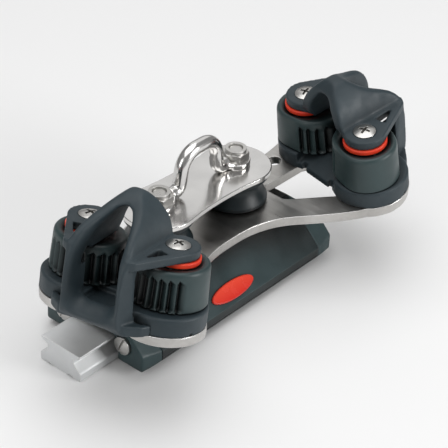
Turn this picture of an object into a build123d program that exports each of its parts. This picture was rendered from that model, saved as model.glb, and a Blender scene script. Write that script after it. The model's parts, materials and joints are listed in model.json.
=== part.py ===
from build123d import *
import math
import os

# A ball-bearing traveller car on a short length of T-track, carrying a pair of
# swept arms with a cam cleat on each end, two upright sheaves and a becket loop.
# Millimetres. X runs along the track (port -X, starboard +X), +Y is forward,
# Z is up. The origin is the middle of the track's underside.

# ---- driving dimensions -------------------------------------------------
TRACK_WIDTH = 22.0
TRACK_HEIGHT = 12.0
TRACK_PORT_END = -79.0
TRACK_STARBOARD_END = 60.0
TRACK_HOLE_PITCH = 100.0

CAR_LENGTH = 121.3
CAR_WIDTH = 55.7
CAR_BOTTOM = 2.3
SIDE_STRIP = 6.0
CAR_TOP = 27.3
CAP_LENGTH = 10.65

PLATE_BOTTOM = 30.2
PLATE_THICK = 4.0
PLATE_TOP = PLATE_BOTTOM + PLATE_THICK

SHEAVE_PITCH = 47.0
SHEAVE_RADIUS = 14.3
SHEAVE_BOTTOM = 35.0
SHEAVE_TOP = 48.3
TOP_PLATE_BOTTOM = 48.9
TOP_PLATE_TOP = 50.9

LOOP_ROD = 6.0
LOOP_APEX = 72.6

CLEAT_PITCH = 38.0      # between the two fixing screws of one cleat
CLEAT_YAW = 12.27       # each cleat is turned towards -Y
CLEAT_TILT = 10.59      # and its outer side is lifted
CLEAT_SEAT = Vector(66.75, -22.7, 39.66)   # middle of the starboard cleat's underside
BASE_TOP = 7.6
CAM_BOTTOM = 7.9
CAM_TOP = 24.3
RING_BOTTOM = 24.4
RING_TOP = 26.3
LUG_BOTTOM = 26.4
LUG_TOP = 30.0
CAM_RADIUS = 13.8
CAM_NOSE = 17.6

M5 = 2.5
M6 = 3.0

SHEAVE_X = SHEAVE_PITCH / 2
HALF_PITCH = CLEAT_PITCH / 2
BODY_END = CAR_LENGTH / 2 - CAP_LENGTH

# ---- frames -------------------------------------------------------------
YAW = math.radians(CLEAT_YAW)
TILT = math.radians(CLEAT_TILT)
OUT_FLAT = Vector(math.cos(YAW), -math.sin(YAW), 0)
OUT = Vector(math.cos(YAW) * math.cos(TILT), -math.sin(YAW) * math.cos(TILT), math.sin(TILT))
UP = Vector(-math.cos(YAW) * math.sin(TILT), math.sin(YAW) * math.sin(TILT), math.cos(TILT))

# In a cleat's own frame x points out along the rope, y across, z up from the seat.
CLEAT = Plane(origin=CLEAT_SEAT, x_dir=OUT, z_dir=UP)
FORE, AFT = 1, -1


def cylinder(radius, z0, z1, x=0.0, y=0.0):
    """Upright cylinder between two heights."""
    return Pos(x, y, z0) * Cylinder(radius, z1 - z0, align=(Align.CENTER, Align.CENTER, Align.MIN))


def tube(outer, inner, z0, z1, x=0.0, y=0.0):
    """Upright tube between two heights."""
    return cylinder(outer, z0, z1, x, y) - cylinder(inner, z0 - 1, z1 + 1, x, y)


def cone(bottom, top, z0, z1, x=0.0, y=0.0):
    """Upright cone frustum between two heights."""
    return Pos(x, y, z0) * Cone(bottom, top, z1 - z0, align=(Align.CENTER, Align.CENTER, Align.MIN))


def block(x0, x1, y0, y1, z0, z1):
    """Box between two corners."""
    size = Box(x1 - x0, y1 - y0, z1 - z0, align=(Align.MIN, Align.MIN, Align.MIN))
    return Pos(x0, y0, z0) * size


def prism(points, z0, z1):
    """Upright prism over a closed outline of points."""
    outline = make_face(Polyline(*points, close=True))
    return Pos(0, 0, z0) * extrude(outline, amount=z1 - z0, dir=(0, 0, 1))


def along_x(points, x0, x1):
    """Prism along X over a closed outline of (y, z) points."""
    section = make_face(Polyline(*[(x0, y, z) for y, z in points], close=True))
    return extrude(section, amount=x1 - x0, dir=(1, 0, 0))


def both_sides(points):
    """Half outline plus its mirror image across the second axis."""
    return points + [(-y, z) for y, z in reversed(points)]


def hexagon(across_flats, z0, z1, x=0.0, y=0.0):
    """Hexagonal nut body with chamfered corners."""
    radius = across_flats / math.sqrt(3)
    points = [(x + radius * math.cos(math.radians(60 * i)), y + radius * math.sin(math.radians(60 * i)))
              for i in range(6)]
    body = prism(points, z0, z1)
    limit = cone(across_flats * 0.52 + 2 * (z1 - z0), across_flats * 0.52, z0, z1, x, y)
    return body & limit


def place(shape):
    """Move a shape from the cleat's own frame onto the starboard arm."""
    return CLEAT.location * shape


def to_port(shape):
    """The port-side twin of a starboard shape."""
    return mirror(shape, about=Plane.YZ)


def write(name, shape):
    """Write one node as a STEP file."""
    solids = shape.solids() if hasattr(shape, "solids") else [s for item in shape for s in item.solids()]
    node = solids[0] if len(solids) == 1 else Compound(children=[Solid(s.wrapped) for s in solids])
    node.label = name
    export_step(node, f"parts/{name}.step")


def write_pair(name, shape):
    """Write the starboard shape and its port twin; name holds one {} for the side."""
    write(name.format("starboard"), shape)
    write(name.format("port"), to_port(shape))


# ---- track --------------------------------------------------------------
GROOVE_HALF = 7.2
GROOVE_Z = 8.25


def track():
    half = TRACK_WIDTH / 2
    # Two relief grooves underneath leave a flat land where the fixing holes come through.
    right = [(3.6, 0), (4.2, 0.6), (7.0, 0.6), (7.6, 0), (half - 0.4, 0), (half, 0.5), (half, 3.6), (half - 0.4, 4.2),
             (GROOVE_HALF, 7.2), (GROOVE_HALF, 9.3), (half - 0.3, 11.3), (half - 0.5, TRACK_HEIGHT)]
    bar = along_x(both_sides(right), TRACK_PORT_END, TRACK_STARBOARD_END)
    for x in (-TRACK_HOLE_PITCH / 2, TRACK_HOLE_PITCH / 2):
        bar -= cylinder(M5 + 0.1, -1, TRACK_HEIGHT + 1, x)
        bar -= cone(M5 + 0.1, 5.3, TRACK_HEIGHT - 2.7, TRACK_HEIGHT + 0.01, x)
    return bar


# ---- car ----------------------------------------------------------------
BALL = 2.2
BALL_Y = 10.0
RETURN_Y = 21.5
RETURN_Z = 5.6
CHANNEL = BALL + 0.1
SLOT_HALF = 11.5
SLOT_TOP = TRACK_HEIGHT + 1.2
TURN_Y = (BALL_Y + RETURN_Y) / 2
TURN_Z = (GROOVE_Z + RETURN_Z) / 2
TURN_RADIUS = math.hypot(RETURN_Y - BALL_Y, GROOVE_Z - RETURN_Z) / 2
TURN_DIP = math.degrees(math.atan2(GROOVE_Z - RETURN_Z, RETURN_Y - BALL_Y))
TOP_HALF = CAR_WIDTH / 2 - (CAR_TOP - CAR_BOTTOM - SIDE_STRIP)
CAP_SCREW_Y = 16.2
CAP_SCREW_Z = 11.0
CAP_SCREW_RADIUS = 1.5
CAP_HEAD_SEAT = 4.2
CAP_SLOT_TURN = -17
LOWER_EDGE = 1.6


def outer_section():
    return both_sides([(CAR_WIDTH / 2 - LOWER_EDGE, CAR_BOTTOM), (CAR_WIDTH / 2, CAR_BOTTOM + LOWER_EDGE),
                       (CAR_WIDTH / 2, CAR_BOTTOM + SIDE_STRIP), (TOP_HALF, CAR_TOP)])


def ball_channel(side, x0, x1):
    """Loaded and return bores of one ball circuit."""
    bores = Part()
    for y, z in ((BALL_Y, GROOVE_Z), (RETURN_Y, RETURN_Z)):
        bores += Pos((x0 + x1) / 2, side * y, z) * Rot(0, 90, 0) * Cylinder(CHANNEL, x1 - x0)
    return bores


def ball_turn(side, x):
    """Half-ring that joins the two bores at one end."""
    return Pos(x, side * TURN_Y, TURN_Z) * Rot(-side * TURN_DIP, 0, 0) * Torus(TURN_RADIUS, CHANNEL)


def car_body():
    body = along_x(outer_section(), -BODY_END, BODY_END)
    body -= block(-BODY_END - 1, BODY_END + 1, -SLOT_HALF, SLOT_HALF, 0, SLOT_TOP)
    for side in (FORE, AFT):
        body -= ball_channel(side, -BODY_END - 1, BODY_END + 1)
        # Shallow extruded fold line just above the side strip.
        y = side * CAR_WIDTH / 2
        body -= block(-BODY_END - 1, BODY_END + 1, y - 0.25, y + 0.25, CAR_BOTTOM + 2.2, CAR_BOTTOM + 2.7)
        for end in (-1, 1):
            hole = Pos(end * (BODY_END - 5), side * CAP_SCREW_Y, CAP_SCREW_Z) * Rot(0, 90, 0)
            body -= hole * Cylinder(CAP_SCREW_RADIUS + 0.05, 14)
    for x in (-SHEAVE_X, SHEAVE_X):
        body -= cylinder(M6, 0, CAR_TOP + 1, x)
        body -= cylinder(5.6, 0, SLOT_TOP + 4.6, x)
    return body


def end_cap():
    """Starboard end cap: the body's section with a sloped top and a notch for the track."""
    end = CAR_LENGTH / 2
    cap = along_x(outer_section(), BODY_END, end)
    slope = [(BODY_END, CAR_TOP), (end + 1, CAR_TOP - 10.2), (end + 1, CAR_TOP + 5), (BODY_END, CAR_TOP + 5)]
    face = make_face(Polyline(*[(x, -CAR_WIDTH, z) for x, z in slope], close=True))
    cap -= extrude(face, amount=2 * CAR_WIDTH, dir=(0, 1, 0))
    notch = both_sides([(13.0, 0), (13.0, 9.0), (11.6, 11.0), (11.6, SLOT_TOP)])
    cap -= along_x(notch, BODY_END - 1, end + 1)
    for side in (FORE, AFT):
        # Drafted flank: the cap narrows slightly towards its end face.
        y = side * CAR_WIDTH / 2
        wedge = [(BODY_END, y), (end + 1, y - side * 1.6), (end + 1, y + side * 3), (BODY_END, y + side * 3)]
        cap -= prism(wedge, 0, CAR_TOP + 1)
        cap -= ball_turn(side, BODY_END)
        hole = Pos(end, side * CAP_SCREW_Y, CAP_SCREW_Z) * Rot(0, 90, 0)
        cap -= hole * Cylinder(CAP_SCREW_RADIUS + 0.2, 40)
        cap -= hole * Cylinder(CAP_HEAD_SEAT, 1.6)
    return cap


def cap_screw(end, side):
    """Slotted pan-head screw, lying along X."""
    head = cylinder(3.9, 0, 1.6) + (cylinder(3.9, 1.5, 2.6) & Pos(0, 0, -4.6) * Sphere(7.2))
    head -= block(-5, 5, -0.5, 0.5, 1.3, 4)
    screw = head + cylinder(CAP_SCREW_RADIUS, -15, 0)
    lie = Rot(0, end * 90, 0) * Rot(0, 0, CAP_SLOT_TURN)
    return Pos(end * (CAR_LENGTH / 2 - 0.8), side * CAP_SCREW_Y, CAP_SCREW_Z) * lie * screw


def ball_circuit(side):
    """One endless row of loose balls, spread evenly round its race-track path."""
    count = 44
    straight = 2 * BODY_END
    turn = math.pi * TURN_RADIUS
    total = 2 * (straight + turn)
    balls = []
    for i in range(count):
        s = total * i / count
        # x along the car, across from -1 (loaded row) to 1 (return row)
        if s < straight:
            x, across = s - straight / 2, -1
        elif s < straight + turn:
            angle = (s - straight) / TURN_RADIUS
            x, across = straight / 2 + TURN_RADIUS * math.sin(angle), -math.cos(angle)
        elif s < 2 * straight + turn:
            x, across = straight / 2 - (s - straight - turn), 1
        else:
            angle = (s - 2 * straight - turn) / TURN_RADIUS
            x, across = -straight / 2 - TURN_RADIUS * math.sin(angle), math.cos(angle)
        y = TURN_Y + across * (RETURN_Y - BALL_Y) / 2
        z = TURN_Z - across * (GROOVE_Z - RETURN_Z) / 2
        balls.append(Pos(x, side * y, z) * Sphere(BALL - 0.1))
    return balls


def badge():
    """Plain domed oval on the aft sloping face."""
    oval = extrude(Ellipse(12.7, 3.7), amount=0.9)
    oval = chamfer(oval.edges().group_by(Axis.Z)[-1], 0.35)
    z = CAR_BOTTOM + 9.8
    y = -(CAR_WIDTH / 2 - (z - CAR_BOTTOM - SIDE_STRIP))
    face = Plane(origin=(-3.5, y, z), x_dir=(1, 0, 0), z_dir=(0, -1, 1))
    return face.location * oval


# ---- arms plate ---------------------------------------------------------
SEAT_FLAT = Vector(CLEAT_SEAT.X, CLEAT_SEAT.Y, 0)
ACROSS = Vector(math.sin(YAW), math.cos(YAW), 0)
LOBE_OFFSET = 2.3
LOBE_Y = 18.0
PAD_RADIUS = 16.3
ARM_HOLE = 3.1
ARM_HOLE_PLACE = (-17.0, 23.3)


def flat_point(out, across):
    """A point of the cleat's seat seen from straight above."""
    p = SEAT_FLAT + OUT_FLAT * (out * math.cos(TILT)) + ACROSS * across
    return (p.X, p.Y)


def pad_outline():
    """Starboard half of the plate in plan, before the arms are opened out."""
    aft = flat_point(LOBE_OFFSET, -LOBE_Y)
    fore = flat_point(LOBE_OFFSET, LOBE_Y)
    aft_start = (aft[0] - 2, aft[1] - PAD_RADIUS + 0.1)
    fore_end = (fore[0] - 3, fore[1] + PAD_RADIUS - 0.3)
    front = Spline((0, -19.9), (11, -20.5), (19.4, -22.6), (30.7, -29.0), (40.3, -38.8), (48.0, -46.8),
                   (56.0, -53.6), aft_start, tangents=((1, 0), (1, -0.12)))
    back = Spline(fore_end, (57.0, 10.0), (42.0, 13.0), (22.0, 17.4), (0, 18.8),
                  tangents=((-1, -0.1), (-1, 0)))
    rest = Polyline(aft_start, aft, fore, fore_end)
    half = make_face([front, rest, back, Line((0, 18.8), (0, -19.9))])
    pads = [Pos(x, y, 0) * Circle(PAD_RADIUS) for x, y in (aft, fore)]
    rim = LOBE_OFFSET + PAD_RADIUS - 2
    corners = ((LOBE_OFFSET, -LOBE_Y), (rim, -LOBE_Y + 6), (rim, LOBE_Y - 6), (LOBE_OFFSET, LOBE_Y))
    bridge = make_face(Polyline(*[flat_point(o, a) for o, a in corners], close=True))
    return half + pads[0] + pads[1] + bridge


def plate_opening():
    """Open space between the two starboard arms."""
    points = [(37.6, -3.6), (37.2, -16.6), (51.5, -34.2), flat_point(-7, -13), flat_point(-7, 13)]
    face = make_face(Polyline(*points, close=True))
    return fillet(face.vertices(), 3.0)


def bent_slab():
    """Starboard half of the bent sheet, wide enough to cut the arms from."""
    bend = (CLEAT_SEAT - SEAT_FLAT).Z - PLATE_TOP
    start = SEAT_FLAT.dot(OUT_FLAT) - bend / math.tan(TILT)
    radius = 50.0
    reach = radius * math.tan(TILT / 2)
    flat = Line((-120, 0), (start - reach, 0))
    curve = JernArc(start=flat @ 1, tangent=(1, 0), radius=radius, arc_size=CLEAT_TILT)
    raised = Line(curve @ 1, (curve @ 1) + Vector(math.cos(TILT), math.sin(TILT)) * 70)
    upper = Wire([flat, curve, raised])
    lower = offset(upper, -PLATE_THICK, side=Side.RIGHT, closed=False)
    inner_end = Line(flat @ 0, Vector(-120, -PLATE_THICK))
    outer_end = Line(raised @ 1, (raised @ 1) + Vector(math.sin(TILT), -math.cos(TILT)) * PLATE_THICK)
    face = make_face(list(upper.edges()) + list(lower.edges()) + [inner_end, outer_end])
    side = Plane(origin=(0, 0, PLATE_TOP), x_dir=OUT_FLAT, z_dir=-ACROSS)
    sheet = extrude(side * face, amount=110, both=True)
    return sheet & block(0, 140, -100, 100, 0, 90)


def arms_plate():
    outline = pad_outline() - plate_opening()
    half = extrude(outline, amount=80, dir=(0, 0, 1)) & bent_slab()
    half -= cylinder(M6 + 0.1, 0, 80, SHEAVE_X)
    # Round hole through the root of the fore arm, square to the raised sheet.
    half -= place(cylinder(ARM_HOLE, -20, 20, *ARM_HOLE_PLACE))
    for side in (FORE, AFT):
        half -= place(cylinder(M5 + 0.2, -20, 20, 0, side * HALF_PITCH))
    plate = half + to_port(half)
    return plate.clean()


# ---- sheaves and their stack --------------------------------------------
RACE_OUTER = 5.2
SHEAVE_BALL = 1.25
SHEAVE_BALL_RADIUS = 6.6
SHEAVE_BORE = 8.0
SHEAVE_WAIST = 11.6


def sheave():
    """Grooved wheel turned about its own axis."""
    mid = (SHEAVE_BOTTOM + SHEAVE_TOP) / 2
    lip = 1.7
    outline = Polyline((SHEAVE_BORE, SHEAVE_BOTTOM), (SHEAVE_RADIUS - 0.4, SHEAVE_BOTTOM),
                       (SHEAVE_RADIUS, SHEAVE_BOTTOM + 0.4), (SHEAVE_RADIUS, SHEAVE_BOTTOM + lip))
    # The waist sits above the middle, so the lower flank is the longer one.
    groove = Spline((SHEAVE_RADIUS, SHEAVE_BOTTOM + lip), (SHEAVE_WAIST + 0.9, mid - 1.6),
                    (SHEAVE_WAIST, mid + 1.4), (SHEAVE_RADIUS, SHEAVE_TOP - lip))
    upper = Polyline((SHEAVE_RADIUS, SHEAVE_TOP - lip), (SHEAVE_RADIUS, SHEAVE_TOP - 0.4),
                     (SHEAVE_RADIUS - 0.4, SHEAVE_TOP), (SHEAVE_BORE, SHEAVE_TOP),
                     (SHEAVE_BORE, SHEAVE_BOTTOM))
    face = make_face([outline, groove, upper])
    wheel = revolve(Plane.XZ * face, axis=Axis.Z)
    return Pos(SHEAVE_X, 0, 0) * wheel


def sheave_race():
    """Sleeve clamped between the plates; the sheave's balls run on it."""
    sleeve = tube(RACE_OUTER, M6 + 0.05, PLATE_TOP, TOP_PLATE_BOTTOM, SHEAVE_X)
    flange = tube(7.6, RACE_OUTER - 0.1, PLATE_TOP, PLATE_TOP + 0.5, SHEAVE_X)
    return sleeve + flange


def ball_ring(count, path, ball, z):
    """Balls evenly round a vertical axis at the origin."""
    return [Pos(path * math.cos(2 * math.pi * i / count), path * math.sin(2 * math.pi * i / count), z)
            * Sphere(ball) for i in range(count)]


def sheave_balls():
    rows = []
    for z in (SHEAVE_BOTTOM + 3.2, SHEAVE_TOP - 3.2):
        rows += ball_ring(14, SHEAVE_BALL_RADIUS, SHEAVE_BALL, z)
    return [Pos(SHEAVE_X, 0, 0) * ball for ball in rows]


def plate_spacer():
    return tube(8.6, M6 + 0.05, CAR_TOP, PLATE_BOTTOM, SHEAVE_X)


def axle_bolt():
    """Through bolt from the car's slot up to the nut on the becket loop."""
    bolt = cylinder(M6, SLOT_TOP + 0.8, TOP_PLATE_TOP + 7.3, SHEAVE_X)
    bolt += cylinder(5.0, SLOT_TOP + 0.8, SLOT_TOP + 4.6, SHEAVE_X)
    bolt -= hexagon(5.0, SLOT_TOP, SLOT_TOP + 3.0, SHEAVE_X)
    return chamfer(bolt.edges().group_by(Axis.Z)[-1], 0.5)


EYE_THICK = 2.6
EYE_RADIUS = 6.4
NUT_BOTTOM = TOP_PLATE_TOP + EYE_THICK
NUT_HEX_TOP = NUT_BOTTOM + 3.8
NUT_TOP = NUT_BOTTOM + 5.3


def axle_nut():
    nut = hexagon(10.0, NUT_BOTTOM, NUT_HEX_TOP, SHEAVE_X)
    nut += cylinder(4.5, NUT_HEX_TOP - 0.4, NUT_TOP, SHEAVE_X)
    nut -= cylinder(M6 + 0.05, 0, 90, SHEAVE_X)
    return nut - cylinder(3.9, NUT_TOP - 1.3, NUT_TOP - 0.4, SHEAVE_X)


def nut_ring():
    """Nylon locking ring held in the nut's collar."""
    return tube(3.85, M6 + 0.05, NUT_TOP - 1.3, NUT_TOP - 0.4, SHEAVE_X)


def top_plate():
    """Peanut-shaped plate over both sheaves."""
    end, waist = 15.4, 13.6
    radius = (SHEAVE_X ** 2 + waist ** 2 - end ** 2) / (2 * (end - waist))
    share = end / (end + radius)
    edge_x = SHEAVE_X * (1 - share)
    edge_y = share * (waist + radius)
    outline = Rectangle(2 * edge_x, 2 * edge_y)
    for side in (FORE, AFT):
        outline -= Pos(0, side * (waist + radius)) * Circle(radius)
    for x in (-SHEAVE_X, SHEAVE_X):
        outline += Pos(x, 0) * Circle(end)
    plate = Pos(0, 0, TOP_PLATE_BOTTOM) * extrude(outline, amount=TOP_PLATE_TOP - TOP_PLATE_BOTTOM)
    plate = chamfer(plate.edges().group_by(Axis.Z)[-1], 0.3)
    for x in (-SHEAVE_X, SHEAVE_X):
        plate -= cylinder(M6 + 0.1, 0, 90, x)
    return plate


def becket_loop():
    """Bent rod whose ends are pressed flat into eyes under the nuts."""
    rod = LOOP_ROD / 2
    foot = TOP_PLATE_TOP + rod
    apex = LOOP_APEX - rod
    right = [(17.5, foot), (11.8, foot), (9.6, apex)]
    points = right + [(-x, z) for x, z in reversed(right)]
    path = FilletPolyline(*[(x, 0, z) for x, z in points], radius=[3.6, 8.4, 8.4, 3.6])
    start = Plane(origin=path @ 0, z_dir=path % 0)
    loop = sweep(start * Circle(rod), path=path)
    top = TOP_PLATE_TOP + EYE_THICK
    for side in (-1, 1):
        round_end = Plane(origin=(side * 16.0, 0, foot), z_dir=(side, 0, 0))
        flat_end = Plane(origin=(side * 20.5, 0, (TOP_PLATE_TOP + top) / 2), x_dir=(0, 1, 0), z_dir=(side, 0, 0))
        loop += loft([round_end * Circle(rod - 0.02), flat_end * Rectangle(9.6, EYE_THICK)])
        loop += cylinder(EYE_RADIUS, TOP_PLATE_TOP, top, side * SHEAVE_X)
    for side in (-1, 1):
        # The bolt's hole, and room for the nut above the flattened eye.
        loop -= cylinder(M6 + 0.1, 0, 90, side * SHEAVE_X)
        loop -= cylinder(EYE_RADIUS - 0.4, top, 90, side * SHEAVE_X)
    return loop


# ---- cam cleats, built in the cleat's own frame --------------------------
BUSH_OUTER = 5.0
CAM_BORE = 8.2
CAM_BALL = 1.5
CAM_BALL_RADIUS = 6.6
FLUTES = 11
LOBE_RADIUS = 16.3
BASE_INNER = -12.2
BASE_OUTER = 19.5
SLOPE_HALF = 12.5


def cleat_base():
    body = Part()
    for side in (FORE, AFT):
        lobe = cylinder(LOBE_RADIUS, 0, BASE_TOP, LOBE_OFFSET, side * LOBE_Y)
        body += chamfer(lobe.edges().group_by(Axis.Z)[-1], 0.7)
    web = prism([(BASE_INNER, -LOBE_Y), (BASE_OUTER - 3, -LOBE_Y), (BASE_OUTER, -13), (BASE_OUTER, 13),
                 (BASE_OUTER - 3, LOBE_Y), (BASE_INNER, LOBE_Y)], 0, BASE_TOP)
    body += web
    # The inner edge slopes down between the lobes; the front is lower, under the rope.
    slope = make_face(Polyline((BASE_INNER - 3, -SLOPE_HALF, 1.2), (BASE_INNER, -SLOPE_HALF, 3.0),
                               (-3.0, -SLOPE_HALF, BASE_TOP), (-3.0, -SLOPE_HALF, 12),
                               (BASE_INNER - 3, -SLOPE_HALF, 12), close=True))
    body -= extrude(slope, amount=2 * SLOPE_HALF, dir=(0, 1, 0))
    body -= block(8.0, BASE_OUTER + 1, -8.0, 8.0, 5.2, 12)
    for side in (FORE, AFT):
        y = side * HALF_PITCH
        # Two small notches in the inner edge, a pocket for the spring and the post's bore.
        body -= block(BASE_INNER - 1, BASE_INNER + 1.6, side * 8.5 - 1.3, side * 8.5 + 1.3, -1, 8)
        body -= tube(9.4, BUSH_OUTER + 0.6, 3.2, 9, 0, y)
        body -= cylinder(BUSH_OUTER + 0.05, 1.6, 9, 0, y)
        body -= cylinder(M5 + 0.15, -1, 9, 0, y)
        drain = block(LOBE_RADIUS - 0.8, 20, -0.7, 0.7, -1, 1.3)
        body -= Pos(LOBE_OFFSET, side * LOBE_Y, 0) * Rot(0, 0, side * 68) * drain
    return body


def cam_radius(angle):
    """Polar outline of a cam: angle 0 faces the rope, positive towards the fairlead."""
    rise = math.radians(angle - 18)
    lobe = math.exp(-(rise / 0.95) ** 2)
    hollow = 1.5 * math.exp(-((math.radians(angle + 78)) / 0.55) ** 2)
    return CAM_RADIUS + (CAM_NOSE - CAM_RADIUS) * lobe - hollow


def cam_face(scale, z):
    """Closed smooth outline of the fore cam at one height, around its own axis."""
    points = []
    for angle in range(-180, 180, 12):
        r = cam_radius(angle) * scale
        a = math.radians(angle)
        points.append((r * math.sin(a), -r * math.cos(a), z))
    return make_face(Spline(*points, periodic=True))


def cam(side):
    body = loft([cam_face(1.0, CAM_BOTTOM), cam_face(0.955, 22.4)])
    crown = loft([cam_face(0.955, 22.4), cam_face(0.80, CAM_TOP)])
    body += crown
    body -= cylinder(CAM_BORE, CAM_BOTTOM - 1, CAM_TOP + 1)
    for i in range(FLUTES):
        angle = -58 + 176 * i / (FLUTES - 1)
        a = math.radians(angle)
        r = cam_radius(angle)
        cutter = Rot(0, 0, angle - 90 + 45) * Box(2.3, 2.3, 11.2)
        body -= Pos(r * math.sin(a), -r * math.cos(a), 14.9) * cutter
    if side == AFT:
        body = mirror(body, about=Plane.XZ)
    return Pos(0, side * HALF_PITCH, 0) * body


def cam_ring(side):
    """Red acetal bearing ring that caps the upper ball row."""
    ring = tube(9.2, BUSH_OUTER + 0.1, RING_BOTTOM, RING_TOP, 0, side * HALF_PITCH)
    return chamfer(ring.edges().group_by(Axis.Z)[-1].sort_by(SortBy.RADIUS)[-1], 0.4)


def cam_bush(side):
    return tube(BUSH_OUTER, M5 + 0.1, 1.6, LUG_BOTTOM, 0, side * HALF_PITCH)


def cam_balls(side):
    rows = []
    for z in (11.0, 21.5):
        rows += ball_ring(12, CAM_BALL_RADIUS, CAM_BALL - 0.02, z)
    return [Pos(0, side * HALF_PITCH, 0) * ball for ball in rows]


def cam_spring(side):
    """Torsion spring in the pocket under the cam."""
    wire = 0.45
    path = Helix(pitch=1.15, height=3.0, radius=7.3)
    coil = sweep(Plane(origin=path @ 0, z_dir=path % 0) * Circle(wire), path=path, is_frenet=True)
    if side == AFT:
        coil = mirror(coil, about=Plane.XZ)
    return Pos(0, side * HALF_PITCH, 3.9) * coil


def cleat_screw(side):
    """Raised countersunk screw with a cross recess."""
    dome = cylinder(4.7, LUG_TOP - 0.01, LUG_TOP + 1.2) & Pos(0, 0, LUG_TOP - 10.3) * Sphere(11.31)
    head = cone(M5 - 0.1, 4.7, LUG_TOP - 2.4, LUG_TOP) + dome
    for turn in (20, 110):
        head -= Rot(0, 0, turn) * block(-2.5, 2.5, -0.55, 0.55, LUG_TOP - 1.4, LUG_TOP + 2)
    shank = cylinder(M5 - 0.1, -PLATE_THICK - 5.6, LUG_TOP - 2.3)
    return Pos(0, side * HALF_PITCH, 0) * (head + shank)


def lock_nut(side):
    top = -PLATE_THICK
    nut = hexagon(8.0, top - 3.6, top) + cylinder(3.6, top - 4.9, top - 3.5)
    return Pos(0, side * HALF_PITCH, 0) * (nut - cylinder(M5, top - 6, top + 1))


HOOD_OUTER = [(13.8, 24.0), (12.8, 31.0), (11.6, 35.0), (9.2, 39.4), (5.0, 44.4), (0, 46.5)]
HOOD_INNER = [(8.6, 24.0), (8.2, 29.0), (6.8, 34.0), (4.3, 38.6), (0, 41.2)]
# The mouth stands upright to its shoulders, then sweeps back low to the crown.
MOUTH = [(25.5, 0), (27.8, 3.0), (28.4, 6.0), (28.4, 18.0), (27.8, 25.0), (26.2, 29.4), (24.2, 32.6),
         (21.6, 35.0), (18.0, 37.0), (13.5, 38.9), (10.0, 40.9), (7.0, 43.2), (4.0, 45.6), (1.0, 46.6)]
HOOD_BACK = [(-1.5, 46.4), (-4.6, 43.0), (-7.0, 37.6), (-7.5, 33.0), (-6.8, 29.4), (-5.0, LUG_BOTTOM)]
SKIRT_BOTTOM = 24.8
WINDOW = [(17.0, LUG_BOTTOM), (19.6, 24.6), (20.8, 21.6), (20.6, 7.4), (BASE_OUTER + 0.05, 5.6)]


def hood_half(points, foot):
    """Half of a hood section: spline over the crown, straight legs to the foot points."""
    crown = Spline(*points, tangents=((0, 1), (-1, 0)))
    legs = Polyline(*foot, points[0])
    base = Polyline(points[-1], (0, foot[0][1]), foot[0])
    return make_face([legs, crown, base])


def hood_solid(points, foot, x0, x1):
    """Hood section pushed along the rope direction."""
    half = hood_half(points, foot)
    section = half + mirror(half, about=Plane.YZ)
    upright = Plane(origin=(x0, 0, 0), x_dir=(0, 1, 0), z_dir=(1, 0, 0))
    return extrude(upright * section, amount=x1 - x0, dir=(1, 0, 0))


def fairlead():
    """Hood that leads the rope: sill, two posts, a leaning mouth and arms back to the screws."""
    outer = hood_solid(HOOD_OUTER, [(15.2, 0.0), (14.6, 8.0)], -10, 32)
    inner = hood_solid(HOOD_INNER, [(8.0, 4.4), (8.4, 8.0)], -12, 34)
    side_points = [(BASE_OUTER + 0.05, 0)] + MOUTH + HOOD_BACK + WINDOW
    profile = make_face(Polyline(*[(x, -20, z) for x, z in side_points], close=True))
    hood = (outer & extrude(profile, amount=40, dir=(0, 1, 0))) - inner

    for side in (FORE, AFT):
        # The posts narrow towards the mouth, from the window's edge to a crease at the front.
        hood -= prism([(21.0, side * 14.7), (28.7, side * 12.0), (31, side * 12.0), (31, side * 18), (21, side * 18)],
                      -1, 50)
        arm = [(-5.0, 8.6), (-6.3, 11.6), (-7.3, 14.6), (-6.0, 19.0), (3.4, 27.0), (25.0, 15.2), (26.8, 12.0),
               (24.0, 8.6)]
        flange = prism([(x, side * y) for x, y in arm], LUG_BOTTOM, LUG_TOP)
        flange += cylinder(8.6, LUG_BOTTOM, LUG_TOP, 0, side * HALF_PITCH)
        hood += flange
        # Skirt between the rope and the bearing ring.
        rim = sorted((side * 8.0, side * 9.3))
        hood += block(-4.6, 16.9, *rim, SKIRT_BOTTOM, LUG_BOTTOM + 0.2)
        hole = [(8.8, 15.4), (9.8, 20.4), (18.6, 14.9)]
        hood -= prism([(x, side * y) for x, y in hole], LUG_BOTTOM - 3, LUG_TOP + 4)
        # Foot that laps the front corner of the base lobe.
        lap = [(BASE_OUTER + 0.05, 8), (26.4, 8), (26.0, 14.0), (22.0, 19.4), (16.0, 22.6), (12, 12)]
        foot = prism([(x, side * y) for x, y in lap], 0, 4.2)
        foot -= cylinder(LOBE_RADIUS + 0.03, -1, 9, LOBE_OFFSET, side * LOBE_Y)
        foot -= block(-5, BASE_OUTER + 0.05, -18.1, 18.1, -1, 9)
        hood += foot
        hood -= cylinder(M5 + 0.1, 20, 40, 0, side * HALF_PITCH)
        hood -= cone(M5 + 0.1, 4.9, LUG_TOP - 2.4, LUG_TOP + 0.01, 0, side * HALF_PITCH)
    hood -= inner
    return hood


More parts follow.
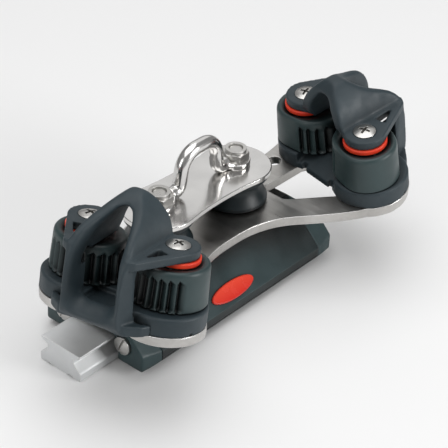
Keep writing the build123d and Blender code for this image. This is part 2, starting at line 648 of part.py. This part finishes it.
def main():
    os.makedirs("parts", exist_ok=True)
    write("track", track())
    write("car_body", car_body())
    write_pair("end_cap_{}", end_cap())
    write("end_cap_screws", [cap_screw(end, side) for end in (-1, 1) for side in (FORE, AFT)])
    write("car_balls_fore", ball_circuit(FORE))
    write("car_balls_aft", ball_circuit(AFT))
    write("badge", badge())
    write("arms_plate", arms_plate())
    write_pair("plate_spacer_{}", plate_spacer())
    write_pair("axle_bolt_{}", axle_bolt())
    write_pair("sheave_{}", sheave())
    write_pair("sheave_race_{}", sheave_race())
    for name, flip in (("starboard", False), ("port", True)):
        balls = sheave_balls()
        write(f"sheave_balls_{name}", [to_port(ball) for ball in balls] if flip else balls)
    write("top_plate", top_plate())
    write("becket_loop", becket_loop())
    write("axle_nuts", [axle_nut(), to_port(axle_nut())])
    write("nut_rings", [nut_ring(), to_port(nut_ring())])

    write_pair("cleat_base_{}", place(cleat_base()))
    write_pair("fairlead_{}", place(fairlead()))
    for side, word in ((FORE, "fore"), (AFT, "aft")):
        write_pair("cam_{}_" + word, place(cam(side)))
        write_pair("cam_spring_{}_" + word, place(cam_spring(side)))
    groups = {"cam_rings_{}": cam_ring, "cam_bushes_{}": cam_bush, "cleat_screws_{}": cleat_screw,
              "lock_nuts_{}": lock_nut}
    for name, maker in groups.items():
        pieces = [place(maker(side)) for side in (FORE, AFT)]
        write(name.format("starboard"), pieces)
        write(name.format("port"), [to_port(piece) for piece in pieces])
    balls = [place(ball) for side in (FORE, AFT) for ball in cam_balls(side)]
    write("cam_balls_starboard", balls)
    write("cam_balls_port", [to_port(ball) for ball in balls])


main()
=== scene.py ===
import bmesh
import bpy
import json
import math
from mathutils import Matrix, Vector


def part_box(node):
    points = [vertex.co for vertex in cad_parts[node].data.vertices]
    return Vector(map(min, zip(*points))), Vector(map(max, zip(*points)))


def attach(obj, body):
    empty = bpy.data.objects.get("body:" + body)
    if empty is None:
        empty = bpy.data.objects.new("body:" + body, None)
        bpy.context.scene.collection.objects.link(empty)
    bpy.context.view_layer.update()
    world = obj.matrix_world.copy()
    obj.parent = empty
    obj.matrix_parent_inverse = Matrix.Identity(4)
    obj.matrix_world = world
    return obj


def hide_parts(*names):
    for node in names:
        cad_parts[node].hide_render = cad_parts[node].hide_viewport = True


# Looks for a ball-bearing traveller car with two cam cleats. Metres, in the frame's own axes.
MM = 0.001

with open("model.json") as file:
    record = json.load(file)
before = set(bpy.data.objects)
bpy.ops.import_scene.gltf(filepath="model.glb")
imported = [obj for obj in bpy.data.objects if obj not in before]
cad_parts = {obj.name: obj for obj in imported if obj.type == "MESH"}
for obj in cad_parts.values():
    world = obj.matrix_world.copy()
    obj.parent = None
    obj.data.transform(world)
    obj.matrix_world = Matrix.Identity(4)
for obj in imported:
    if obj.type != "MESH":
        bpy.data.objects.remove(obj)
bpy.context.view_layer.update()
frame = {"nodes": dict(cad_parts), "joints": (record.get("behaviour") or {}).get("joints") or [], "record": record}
NODES = frame["nodes"]
JOINTS = {joint["name"]: joint for joint in frame["joints"]}
SIDES = ("starboard", "port")
WORDS = ("fore", "aft")


# ---- materials ------------------------------------------------------------
PAINTED_SHADE_BLACK = (0.0015, 0.0022, 0.0025)    # painted shade: what a colour falls to deep in a recess


class Shader:
    """A small builder for one node-based material."""

    def __init__(self, name, metallic, coat=0.0, specular=0.5):
        self.material = bpy.data.materials.new(name)
        self.material.use_nodes = True
        self.tree = self.material.node_tree
        self.shader = self.tree.nodes["Principled BSDF"]
        self.shader.inputs["Metallic"].default_value = metallic
        self.shader.inputs["Coat Weight"].default_value = coat
        self.shader.inputs["Coat Roughness"].default_value = 0.12
        self.shader.inputs["Specular IOR Level"].default_value = specular
        self.place = self.add("ShaderNodeTexCoord").outputs["Object"]

    def add(self, kind, **values):
        node = self.tree.nodes.new(kind)
        for key, value in values.items():
            setattr(node, key, value)
        return node

    def link(self, output, target):
        self.tree.links.new(output, target)

    def noise(self, size, detail=3.0, stretch=(1, 1, 1)):
        """Noise with features about `size` metres across, stretched along the given axes."""
        mapping = self.add("ShaderNodeMapping")
        mapping.inputs["Scale"].default_value = [1 / (size * s) for s in stretch]
        texture = self.add("ShaderNodeTexNoise")
        texture.inputs["Scale"].default_value = 1.0
        texture.inputs["Detail"].default_value = detail
        self.link(self.place, mapping.inputs["Vector"])
        self.link(mapping.outputs["Vector"], texture.inputs["Vector"])
        return texture.outputs["Fac"]

    def ramp(self, value, low, high, start=0.35, end=0.65):
        node = self.add("ShaderNodeMapRange")
        for key, number in (("From Min", start), ("From Max", end), ("To Min", low), ("To Max", high)):
            node.inputs[key].default_value = number
        self.link(value, node.inputs["Value"])
        return node.outputs["Result"]

    def mix(self, factor, first, second):
        """Blend of two colours; each is a colour or another node's output."""
        node = self.add("ShaderNodeMix", data_type="RGBA")
        self.link(factor, node.inputs[0])
        for socket, colour in ((node.inputs[6], first), (node.inputs[7], second)):
            if isinstance(colour, tuple):
                socket.default_value = (*colour, 1)
            else:
                self.link(colour, socket)
        return node.outputs[2]

    def edges(self, radius):
        """Mask that is 1 along edges within `radius` metres, and the rounded normal there."""
        bevel = self.add("ShaderNodeBevel", samples=6)
        bevel.inputs["Radius"].default_value = radius
        flat = self.add("ShaderNodeNewGeometry").outputs["Normal"]
        dot = self.add("ShaderNodeVectorMath", operation="DOT_PRODUCT")
        self.link(bevel.outputs["Normal"], dot.inputs[0])
        self.link(flat, dot.inputs[1])
        return self.ramp(dot.outputs["Value"], 1.0, 0.0, 0.80, 0.985), bevel.outputs["Normal"]

    def painted_shade(self, colour, reach, depth):
        """The colour, darkened towards black as painted shade within `reach` metres of other faces."""
        shelter = self.add("ShaderNodeAmbientOcclusion", samples=8)
        shelter.inputs["Distance"].default_value = reach
        return self.mix(self.ramp(shelter.outputs["AO"], depth, 0.0, 0.15, 0.85), colour, PAINTED_SHADE_BLACK)

    def finish(self, colour, roughness, bumps, normal=None):
        """Link the finished colour, roughness and a stack of (height, depth) bumps."""
        self.link(colour, self.shader.inputs["Base Color"])
        self.link(roughness, self.shader.inputs["Roughness"])
        for height, depth in bumps:
            bump = self.add("ShaderNodeBump")
            bump.inputs["Strength"].default_value = 1.0
            bump.inputs["Distance"].default_value = depth
            self.link(height, bump.inputs["Height"])
            if normal:
                self.link(normal, bump.inputs["Normal"])
            normal = bump.outputs["Normal"]
        self.link(normal, self.shader.inputs["Normal"])
        return self.material


def moulded(name, dark, light, rough, edge=0.0004, edge_wear_and_highlight=(0.072, 0.086, 0.096), painted_shade_strength=0.88, reach=0.009):
    """Moulded plastic: fine grain, slow colour drift, edges with slight wear and a painted highlight, and painted
    shade near other faces.
    """
    s = Shader(name, metallic=0.0, specular=0.40)
    mask, rounded = s.edges(edge)
    drift = s.noise(0.014, 3)
    body = s.mix(s.ramp(drift, 0, 1), dark, light)
    # Edge colour: slight wear plus a painted highlight along the edges.
    wear_and_highlight = s.add("ShaderNodeMath", operation="MULTIPLY")
    s.link(mask, wear_and_highlight.inputs[0])
    s.link(s.ramp(s.noise(0.003, 4), 0.10, 0.75), wear_and_highlight.inputs[1])
    # Painted shade: the colour darkens towards black near other faces.
    colour = s.painted_shade(s.mix(wear_and_highlight.outputs[0], body, edge_wear_and_highlight), reach, painted_shade_strength)
    roughness = s.ramp(s.noise(0.006, 4), rough - 0.06, rough + 0.08)
    bumps = [(s.noise(0.00045, 2), 0.000012), (s.noise(0.004, 3), 0.00003)]
    return s.finish(colour, roughness, bumps, rounded)


def anodised(name, dark, light, rough):
    """Extruded and anodised aluminium: faint draw lines along X, edges with wear and a painted highlight, and
    painted shade near other faces.
    """
    s = Shader(name, metallic=0.35, specular=0.6)
    mask, rounded = s.edges(0.0005)
    body = s.mix(s.ramp(s.noise(0.018, 3), 0, 1), dark, light)
    # Edge colour: wear plus a painted highlight along the edges.
    wear_and_highlight = s.add("ShaderNodeMath", operation="MULTIPLY")
    s.link(mask, wear_and_highlight.inputs[0])
    s.link(s.ramp(s.noise(0.004, 4), 0.2, 0.9), wear_and_highlight.inputs[1])
    # Painted shade: darkens towards black under and beside other parts, such as the flank under the arms plate.
    colour = s.painted_shade(s.mix(wear_and_highlight.outputs[0], body, (0.075, 0.105, 0.110)), reach=0.045, depth=2.0)
    lines = s.noise(0.0004, 2, (60, 1, 1))
    roughness = s.ramp(s.noise(0.008, 4), rough - 0.05, rough + 0.08)
    return s.finish(colour, roughness, [(lines, 0.000006)], rounded)


def steel(name, dark, light, rough, brush=(1, 1, 1), edge=0.0006, depth=0.0000008, streak=0.05,
          grain=0.00035):
    """Stainless steel; `brush` stretches the scratches, and the edges carry a painted highlight."""
    s = Shader(name, metallic=1.0)
    mask, rounded = s.edges(edge)
    scratches = s.noise(grain, 3, brush)
    cloud = s.noise(0.022, 3)
    body = s.mix(s.ramp(cloud, 0, 1), dark, light)
    streaked = s.mix(s.ramp(scratches, 0.0, streak), body, (0.90, 0.89, 0.87))
    # Painted highlight: edges lightened to near white.
    colour = s.mix(mask, streaked, (0.93, 0.93, 0.92))
    total = s.add("ShaderNodeMath", operation="ADD")
    s.link(s.ramp(scratches, -0.02, 0.03), total.inputs[0])
    s.link(s.ramp(s.noise(0.009, 4), rough - 0.03, rough + 0.05), total.inputs[1])
    return s.finish(colour, total.outputs[0], [(scratches, depth)], rounded)


SLATE_DARK, SLATE_LIGHT = (0.020, 0.032, 0.039), (0.028, 0.042, 0.050)
BLACK_DARK, BLACK_LIGHT = (0.016, 0.036, 0.039), (0.025, 0.049, 0.053)

LOOKS = {
    "cleat_plastic": moulded("slate_plastic", SLATE_DARK, SLATE_LIGHT, 0.52),
    # The cams get strong painted shade in their flutes and a painted highlight on their crests.
    "cam_plastic": moulded("cam_plastic", (0.022, 0.040, 0.042), (0.032, 0.054, 0.056), 0.40, edge=0.0005,
                           edge_wear_and_highlight=(0.15, 0.17, 0.175), painted_shade_strength=1.5, reach=0.015),
    "cap_plastic": moulded("cap_plastic", BLACK_DARK, BLACK_LIGHT, 0.42, edge_wear_and_highlight=(0.10, 0.12, 0.125)),
    # The sheave's light edge colour is a painted highlight on its rims.
    "sheave_plastic": moulded("sheave_plastic", (0.003, 0.008, 0.010), (0.006, 0.013, 0.016), 0.42,
                              edge=0.0006, edge_wear_and_highlight=(0.22, 0.24, 0.25)),
    "red_acetal": moulded("red_acetal", (0.70, 0.036, 0.012), (0.82, 0.062, 0.020), 0.38,
                          edge_wear_and_highlight=(0.90, 0.14, 0.06), painted_shade_strength=0.35),
    "ball_acetal": moulded("ball_acetal", (0.62, 0.61, 0.57), (0.72, 0.71, 0.67), 0.3, edge_wear_and_highlight=(0.8, 0.8, 0.76),
                           painted_shade_strength=0.3),
    "nylon": moulded("nylon", (0.40, 0.39, 0.36), (0.52, 0.51, 0.48), 0.4, edge_wear_and_highlight=(0.6, 0.6, 0.58), painted_shade_strength=0.3),
    "anodised_black": anodised("anodised_black", BLACK_DARK, BLACK_LIGHT, 0.40),
    "track_alloy": steel("track_alloy", (0.66, 0.67, 0.675), (0.73, 0.74, 0.745), 0.62, (60, 1, 1)),
    "stainless_brushed": steel("stainless_brushed", (0.40, 0.388, 0.370), (0.54, 0.525, 0.508), 0.32,
                               (1, 30, 1), depth=0.0000001, streak=0.10, grain=0.0016),
    "stainless_polished": steel("stainless_polished", (0.62, 0.61, 0.60), (0.74, 0.73, 0.715), 0.17,
                                edge=0.0003),
    "fastener_steel": steel("fastener_steel", (0.46, 0.45, 0.43), (0.58, 0.57, 0.55), 0.30, edge=0.0002),
    "bush_steel": steel("bush_steel", (0.45, 0.45, 0.45), (0.56, 0.56, 0.56), 0.25, (1, 1, 20)),
    "spring_steel": steel("spring_steel", (0.42, 0.42, 0.42), (0.52, 0.52, 0.52), 0.25),
}


def badge_look():
    """Domed red label with a painted highlight that turns it orange towards its upper edge, with no lettering."""
    s = Shader("badge_red", metallic=0.0, coat=0.25, specular=0.35)
    mask, rounded = s.edges(0.0003)
    low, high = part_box("badge")
    height = s.add("ShaderNodeSeparateXYZ")
    s.link(s.place, height.inputs[0])
    # Painted highlight: the label lightens to orange towards its upper edge.
    painted_sheen = s.ramp(height.outputs["Z"], 0, 1, low.z, high.z)
    body = s.mix(painted_sheen, (0.56, 0.010, 0.005), (0.78, 0.060, 0.028))
    colour = s.mix(mask, body, (0.10, 0.02, 0.02))
    roughness = s.ramp(s.noise(0.004, 3), 0.20, 0.30)
    return s.finish(colour, roughness, [(s.noise(0.002, 2), 0.000008)], rounded)


LOOKS["badge_red"] = badge_look()
SLOTS = {part["node"]: part["material_slot"] for part in frame["record"]["subparts"]}
for node, cad in NODES.items():
    cad.data.materials.clear()
    cad.data.materials.append(LOOKS[SLOTS[node]])


# ---- the cleats' own frames -----------------------------------------------
# Out along the rope, across towards +Y and up from the seat, in millimetres.
CAM_MID = 16.0    # height of the cam joints above the seat


class Cleat:
    def __init__(self, side):
        fore, aft = (Vector(JOINTS[f"cam_{side}_{word}_turn"]["pos_m"]) for word in WORDS)
        up = Vector(JOINTS[f"cam_{side}_fore_turn"]["axis"]).normalized()
        self.up = up if up.z > 0 else -up
        self.across = (fore - aft).normalized()
        out = self.across.cross(self.up)
        self.out = out if out.x * fore.x > 0 else -out
        self.seat = (fore + aft) / 2 - CAM_MID * MM * self.up

    def local(self, point):
        arm = (point - self.seat) / MM
        return arm.dot(self.out), arm.dot(self.across), arm.dot(self.up)

    def world(self, out, across, up):
        return self.seat + MM * (out * self.out + across * self.across + up * self.up)


CLEATS = {side: Cleat(side) for side in SIDES}


def fade(value, full, none):
    """1 where value is at `full`, falling evenly to 0 at `none`."""
    return min(1.0, max(0.0, (value - none) / (full - none)))


# ---- moulded and forged pieces, with softened edges --------------------------
def add_piece(name, mesh, node, body):
    """Link a finished mesh that stands for a CAD node, riding on that node's body."""
    piece = bpy.data.objects.new(name, mesh)
    bpy.context.scene.collection.objects.link(piece)
    mesh.materials.clear()
    mesh.materials.append(LOOKS[SLOTS[node]])
    mesh.polygons.foreach_set("use_smooth", [True] * len(mesh.polygons))
    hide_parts(node)
    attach(piece, body)


def shaped_copy(draft):
    return bpy.data.meshes.new_from_object(draft.evaluated_get(bpy.context.evaluated_depsgraph_get()))


def ease(draft, rounds, group=""):
    smooth = draft.modifiers.new("ease", "SMOOTH")
    smooth.factor = 0.5
    smooth.iterations = rounds
    smooth.vertex_group = group


def closed_mesh(points, faces):
    mesh = bpy.data.meshes.new("closed")
    mesh.from_pydata(points, [], faces)
    bm = bmesh.new()
    bm.from_mesh(mesh)
    bmesh.ops.recalc_face_normals(bm, faces=bm.faces)
    bm.to_mesh(mesh)
    bm.free()
    return mesh


def carve(mesh, cutter):
    """The mesh with the cutter taken away."""
    blank = bpy.data.objects.new("blank", mesh)
    tool = bpy.data.objects.new("tool", cutter)
    for piece in (blank, tool):
        bpy.context.scene.collection.objects.link(piece)
    cut = blank.modifiers.new("cut", "BOOLEAN")
    cut.object = tool
    cut.operation = "DIFFERENCE"
    cut.solver = "EXACT"
    carved = shaped_copy(blank)
    bpy.data.objects.remove(blank)
    bpy.data.objects.remove(tool)
    return carved


WELD = 1e-6              # points of a CAD mesh closer than this are one
GRID = 0.40 * MM         # how finely the moulded pieces are remeshed
FINE_GRID = 0.30 * MM    # and the thinner forged loop


def soften(node, voxel, rounds, weight=None, extra=0, cutter=None, fillers=()):
    """A piece of the car in its CAD node's own shape, remeshed and smoothed to round its edges.

    `weight` gives, for a point, how much of the `extra` smoothing it gets. The `fillers`
    are run into the shape, and the `cutter` is taken away from it and from them.
    """
    mesh = NODES[node].data.copy()
    bm = bmesh.new()
    bm.from_mesh(mesh)
    bmesh.ops.remove_doubles(bm, verts=bm.verts, dist=WELD)
    bm.to_mesh(mesh)
    bm.free()
    draft = bpy.data.objects.new("draft", mesh)
    bpy.context.scene.collection.objects.link(draft)
    if cutter:
        bm = bmesh.new()
        for blank in (mesh, *fillers):
            bm.from_mesh(carve(blank, cutter))
        bm.to_mesh(mesh)
        bm.free()
    grid = draft.modifiers.new("grid", "REMESH")
    grid.mode = "VOXEL"
    grid.voxel_size = voxel
    ease(draft, rounds)
    shaped = shaped_copy(draft)
    bpy.data.objects.remove(draft)
    bpy.data.meshes.remove(mesh)
    if weight:
        second = bpy.data.objects.new("draft", shaped)
        bpy.context.scene.collection.objects.link(second)
        group = second.vertex_groups.new(name="eased")
        levels = {}
        for vertex in shaped.vertices:
            levels.setdefault(round(weight(vertex.co) * 10), []).append(vertex.index)
        for level, members in levels.items():
            group.add(members, level / 10, "REPLACE")
        ease(second, extra, group.name)
        eased = shaped_copy(second)
        bpy.data.objects.remove(second)
        bpy.data.meshes.remove(shaped)
        shaped = eased
    name = node + "_shell"
    shaped.name = name
    add_piece(name, shaped, node, "car")


# The fairlead's lip: upright at LIP_OUT up to LIP_BEND, then swept back as it rises.
LIP_OUT = 28.0
LIP_SWEEP = 26.0
LIP_BEND = 27.0
LIP_RISE = 19.5
LIP_CURVE = 1.35


def lip_reach(up):
    """How far out the fairlead's lip stands at a height above the seat."""
    return LIP_OUT - LIP_SWEEP * max(0.0, (up - LIP_BEND) / LIP_RISE) ** LIP_CURVE


# Half of the throat's section, (across, up), with its lower corners filled in; and the
# bell of the mouth, (depth behind the lip, how much wider than the throat).
THROAT = [(0, 7.5), (2.6, 7.5), (4.6, 7.6), (6.2, 8.1), (7.4, 9.2), (8.1, 10.8), (8.4, 13), (8.5, 16),
          (8.5, 20), (8.55, 24), (8.4, 27), (8.1, 29.4), (7.5, 31.8), (6.7, 34.1), (5.6, 36.6), (4.2, 38.6),
          (2.3, 40.5)]
THROAT_TOP = (0, 41.3)
BELL = [(-3.0, 2.3), (0.0, 2.1), (0.7, 1.55), (1.7, 1.05), (3.2, 0.55), (5.0, 0.15), (7.2, -0.15)]
SCOOP = 1.5    # how much more the bell opens downwards than sideways


def throat_loop():
    """Points round the throat with the outward direction at each."""
    half = THROAT + [THROAT_TOP]
    loop = half + [(-a, z) for a, z in reversed(THROAT[1:])]
    count = len(loop)
    rows = []
    for k in range(count):
        before, after = Vector(loop[k - 1]), Vector(loop[(k + 1) % count])
        along = (after - before).normalized()
        rows.append((Vector(loop[k]), Vector((along.y, -along.x))))
    return rows


def bell_cutter(cleat):
    """What the bell mouth takes out of the fairlead, following its swept lip."""
    loop = throat_loop()
    n = len(loop)
    points, faces = [], []
    for depth, flare in BELL:
        for at, outward in loop:
            spot = at + outward * flare * (1 + SCOOP * max(0.0, -outward.y))
            points.append(cleat.world(lip_reach(spot.y) - depth, spot.x, spot.y))
    for i in range(len(BELL) - 1):
        for k in range(n):
            m = (k + 1) % n
            faces.append((i * n + k, i * n + m, (i + 1) * n + m, (i + 1) * n + k))
    middle = 22.0
    for row, depth in ((0, BELL[0][0]), (len(BELL) - 1, BELL[-1][0])):
        points.append(cleat.world(lip_reach(middle) - depth, 0, middle))
        for k in range(n):
            faces.append((row * n + k, row * n + (k + 1) % n, len(points) - 1))
    return closed_mesh(points, faces)


def cleat_prism(cleat, section, back, front):
    """Closed prism of an (across, up) section, run along the rope direction."""
    n = len(section)
    points = [cleat.world(out, a, z) for out in (back, front) for a, z in section]
    faces = [(k, (k + 1) % n, n + (k + 1) % n, n + k) for k in range(n)]
    faces += [tuple(range(n)), tuple(range(n, 2 * n))]
    return closed_mesh(points, faces)


# Sections of the fillers, (across, up), and how far they run along the rope direction.
FLOOR_HALF = [(9.6, 3.6), (9.6, 11.0), (8.25, 11.0), (8.0, 10.0), (7.3, 9.0), (6.1, 8.0), (4.6, 7.5)]
FLOOR_RUN = (19.8, 28.6)
FLANK = [(8.5, 7.9), (9.7, 7.9), (9.7, 20.5), (8.55, 20.5)]
FLANK_RUN = (17.2, 22.0)


def scoop_fillers(cleat):
    """Raised floor of the mouth, and the deeper inner flank of each post."""
    floor = FLOOR_HALF + [(-a, z) for a, z in reversed(FLOOR_HALF)]
    fillers = [cleat_prism(cleat, floor, *FLOOR_RUN)]
    for side in (1, -1):
        fillers.append(cleat_prism(cleat, [(side * a, z) for a, z in FLANK], *FLANK_RUN))
    return fillers


def mouth_weight(cleat):
    """The extra easing goes to the lip, floor and throat of the mouth and to the crown and its back.

    The shoulder, where the posts meet the lugs, gets part of it.
    """
    def weight(point):
        out, across, up = cleat.local(point)
        across = abs(across)
        crest = fade(up, 33, 29.5)
        inner = max(crest, fade(across, 9.8, 11.6))
        lip = fade(lip_reach(up) - out, 4.0, 8.5)
        bowl = fade(up, 9, 14) * fade(out, 21, 18)
        rear = fade(out, 7, 12) * fade(up, 33.5, 31)
        web = fade(across, 10.0, 11.0) * fade(out, 16.5, 15.0)
        shoulder = 0.7 * fade(abs(up - 25.5), 3.0, 5.5) * fade(across, 11.5, 13.5) * fade(out, 18, 15.5)
        return max(max(lip, bowl, crest) * inner, rear, web, shoulder)
    return weight


CAP_EASED, CAP_PLAIN = 58.0, 54.5    # distance from the car's middle


def cap_weight(point):
    """The extra easing goes to the outer end of a cap, and none to its face on the car body."""
    return fade(abs(point.x) / MM, CAP_EASED, CAP_PLAIN)


for side in SIDES:
    cleat = CLEATS[side]
    soften(f"fairlead_{side}", GRID, 10, mouth_weight(cleat), 60, bell_cutter(cleat), scoop_fillers(cleat))
    soften(f"cleat_base_{side}", GRID, 5)
    soften(f"end_cap_{side}", GRID, 3, cap_weight, 30)
soften("becket_loop", FINE_GRID, 9)


# ---- cams ---------------------------------------------------------------------
# Polar surface about each cam's own axis, in millimetres above the cleat's seat.
CAM_RADIUS, CAM_NOSE = 13.8, 17.6
NOSE_ANGLE, NOSE_SPREAD = 18, 0.95    # degrees, radians
HOLLOW_ANGLE, HOLLOW_SPREAD, HOLLOW_DEPTH = -78, 0.55, 1.5
CAM_BORE = 8.3
WALL = (8.3, 22.2)
CROWN_TOP = 24.25
TOP_SCALE = 0.955
CROWN_INSET = 0.10    # how much the rounded crown draws in, as a share of the outline
WALL_STEPS, CROWN_STEPS = 44, 6
FINE_STEP, COARSE_STEP = 1.0, 3.0    # degrees, on the flutes and elsewhere
RECESS_RADIUS = 10.2
TOOTH_FROM, TOOTH_TO, TOOTH_PITCH = -58.0, 137.0, 15.0
TOOTH_DEPTH = 2.6
TOOTH_STEEP = 0.25
TOOTH_SPAN = (9.0, 19.8)
TOOTH_CURVE = 1.3
TOOTH_FADE = 1.7


def cam_radius(angle):
    """Outline of the cam: angle 0 faces the rope, positive towards the fairlead."""
    lobe = math.exp(-(math.radians(angle - NOSE_ANGLE) / NOSE_SPREAD) ** 2)
    hollow = HOLLOW_DEPTH * math.exp(-(math.radians(angle - HOLLOW_ANGLE) / HOLLOW_SPREAD) ** 2)
    return CAM_RADIUS + (CAM_NOSE - CAM_RADIUS) * lobe - hollow


def tooth(angle, height):
    """Depth of the sawtooth flutes; each runs out to a point at its top and bottom."""
    if not TOOTH_FROM <= angle <= TOOTH_TO:
        return 0.0
    phase = ((angle - TOOTH_FROM) / TOOTH_PITCH) % 1.0
    profile = phase / TOOTH_STEEP if phase < TOOTH_STEEP else (1 - phase) / (1 - TOOTH_STEEP)
    beyond = max(0.0, TOOTH_SPAN[0] - height, height - TOOTH_SPAN[1])
    return max(0.0, TOOTH_DEPTH * (profile ** TOOTH_CURVE - beyond / TOOTH_FADE))


def cam_rows():
    """(height, scale of the outline, fixed radius or None) from the bore round to the bore."""
    rows = [(7.95, 1.0, CAM_BORE), (7.95, 0.965, None), (8.05, 0.99, None)]
    for i in range(WALL_STEPS + 1):
        height = WALL[0] + (WALL[1] - WALL[0]) * i / WALL_STEPS
        rows.append((height, 1 - (1 - TOP_SCALE) * i / WALL_STEPS, None))
    for i in range(1, CROWN_STEPS + 1):
        turn = math.pi / 2 * i / CROWN_STEPS
        height = WALL[1] + (CROWN_TOP - WALL[1]) * math.sin(turn)
        rows.append((height, TOP_SCALE - CROWN_INSET * (1 - math.cos(turn)), None))
    rows += [(CROWN_TOP, 1.0, RECESS_RADIUS + 0.3), (CROWN_TOP - 0.3, 1.0, RECESS_RADIUS),
             (CROWN_TOP - 0.5, 1.0, CAM_BORE)]
    return rows


def cam_angles():
    """Angles once round the cam, close together where the flutes are."""
    angles, angle = [], TOOTH_FROM
    while angle < TOOTH_FROM + 360:
        angles.append(angle)
        angle += FINE_STEP if angle < TOOTH_TO else COARSE_STEP
    return angles


def build_cam(side, word):
    node = f"cam_{side}_{word}"
    cleat = CLEATS[side]
    pivot = cleat.local(Vector(JOINTS[node + "_turn"]["pos_m"]))[1]
    facing = -1 if pivot > 0 else 1
    rows, angles = cam_rows(), cam_angles()
    points = []
    for height, scale, fixed in rows:
        for angle in angles:
            r = fixed or (cam_radius((angle + 180) % 360 - 180) - tooth(angle, height)) * scale
            a = math.radians(angle)
            points.append(cleat.world(r * math.sin(a), pivot + facing * r * math.cos(a), height))
    n = len(angles)
    faces = []
    for i in range(len(rows)):
        j = (i + 1) % len(rows)
        for k in range(n):
            m = (k + 1) % n
            faces.append((i * n + k, i * n + m, j * n + m, j * n + k))
    add_piece(node + "_shell", closed_mesh(points, faces), node, node)


for side in SIDES:
    for word in WORDS:
        build_cam(side, word)


# ---- floor, light and camera ------------------------------------------------
def soft_light(name, place, aim, size, power):
    lamp = bpy.data.lights.new(name, "AREA")
    lamp.shape = "RECTANGLE"
    lamp.size, lamp.size_y = size
    lamp.energy = power
    holder = bpy.data.objects.new(name, lamp)
    holder.location = place
    holder.rotation_euler = (Vector(aim) - Vector(place)).to_track_quat("-Z", "Y").to_euler()
    bpy.context.scene.collection.objects.link(holder)


FLOOR_REACH = 4.0
FLOOR_LEVEL = -0.05 * MM    # just under the track, so that the two faces don't lie in one plane


def stage():
    floor = bpy.data.meshes.new("floor")
    signs = ((-1, -1), (1, -1), (1, 1), (-1, 1))
    corners = [(x * FLOOR_REACH, y * FLOOR_REACH, FLOOR_LEVEL) for x, y in signs]
    floor.from_pydata(corners, [], [(0, 1, 2, 3)])
    ground = bpy.data.objects.new("floor", floor)
    bpy.context.scene.collection.objects.link(ground)
    paint = bpy.data.materials.new("floor_paint")
    paint.use_nodes = True
    coat = paint.node_tree.nodes["Principled BSDF"]
    coat.inputs["Base Color"].default_value = (0.84, 0.84, 0.84, 1)
    coat.inputs["Roughness"].default_value = 0.9
    floor.materials.append(paint)

    world = bpy.data.worlds.new("studio")
    world.use_nodes = True
    sky = world.node_tree.nodes["Background"]
    sky.inputs["Color"].default_value = (1, 1, 1, 1)
    sky.inputs["Strength"].default_value = 0.26
    bpy.context.scene.world = world
    centre = (0, 0, 0.03)
    soft_light("top_light", (-0.04, 0.02, 1.30), centre, (1.6, 1.4), 13.5)
    soft_light("back_light", (0.70, 0.55, 0.70), centre, (0.9, 0.7), 1.15)
    soft_light("left_light", (-0.85, 0.05, 0.45), centre, (0.35, 0.5), 1.6)
    soft_light("front_light", (0.34, -0.93, 0.36), centre, (0.40, 0.40), 5.4)


# Camera: a long lens from the port quarter, looking down.
AZIMUTH = math.radians(-51.23)
ELEVATION = math.radians(33.82)
ROLL = math.radians(3.22)
DISTANCE = 0.68445
TARGET = Vector((0.00503, -0.01082, 0.03435))
FOCAL_IN_FRAMES = 3.70917    # focal length over the width of the frame
SENSOR = 36.0


def camera():
    back = Vector((math.sin(AZIMUTH) * math.cos(ELEVATION), -math.cos(AZIMUTH) * math.cos(ELEVATION),
                   math.sin(ELEVATION)))
    right = Vector((math.cos(AZIMUTH), math.sin(AZIMUTH), 0))
    up = back.cross(right)
    turned = right * math.cos(ROLL) + up * math.sin(ROLL)
    raised = up * math.cos(ROLL) - right * math.sin(ROLL)
    data = bpy.data.cameras.new("camera")
    data.sensor_width = SENSOR
    data.lens = FOCAL_IN_FRAMES * SENSOR
    data.clip_start = 10 * MM
    holder = bpy.data.objects.new("camera", data)
    basis = Matrix((turned, raised, back)).transposed().to_4x4()
    holder.matrix_world = Matrix.Translation(TARGET + back * DISTANCE) @ basis
    bpy.context.scene.collection.objects.link(holder)
    bpy.context.scene.camera = holder


stage()
camera()
bpy.context.scene.view_settings.view_transform = "Standard"

bpy.context.view_layer.update()
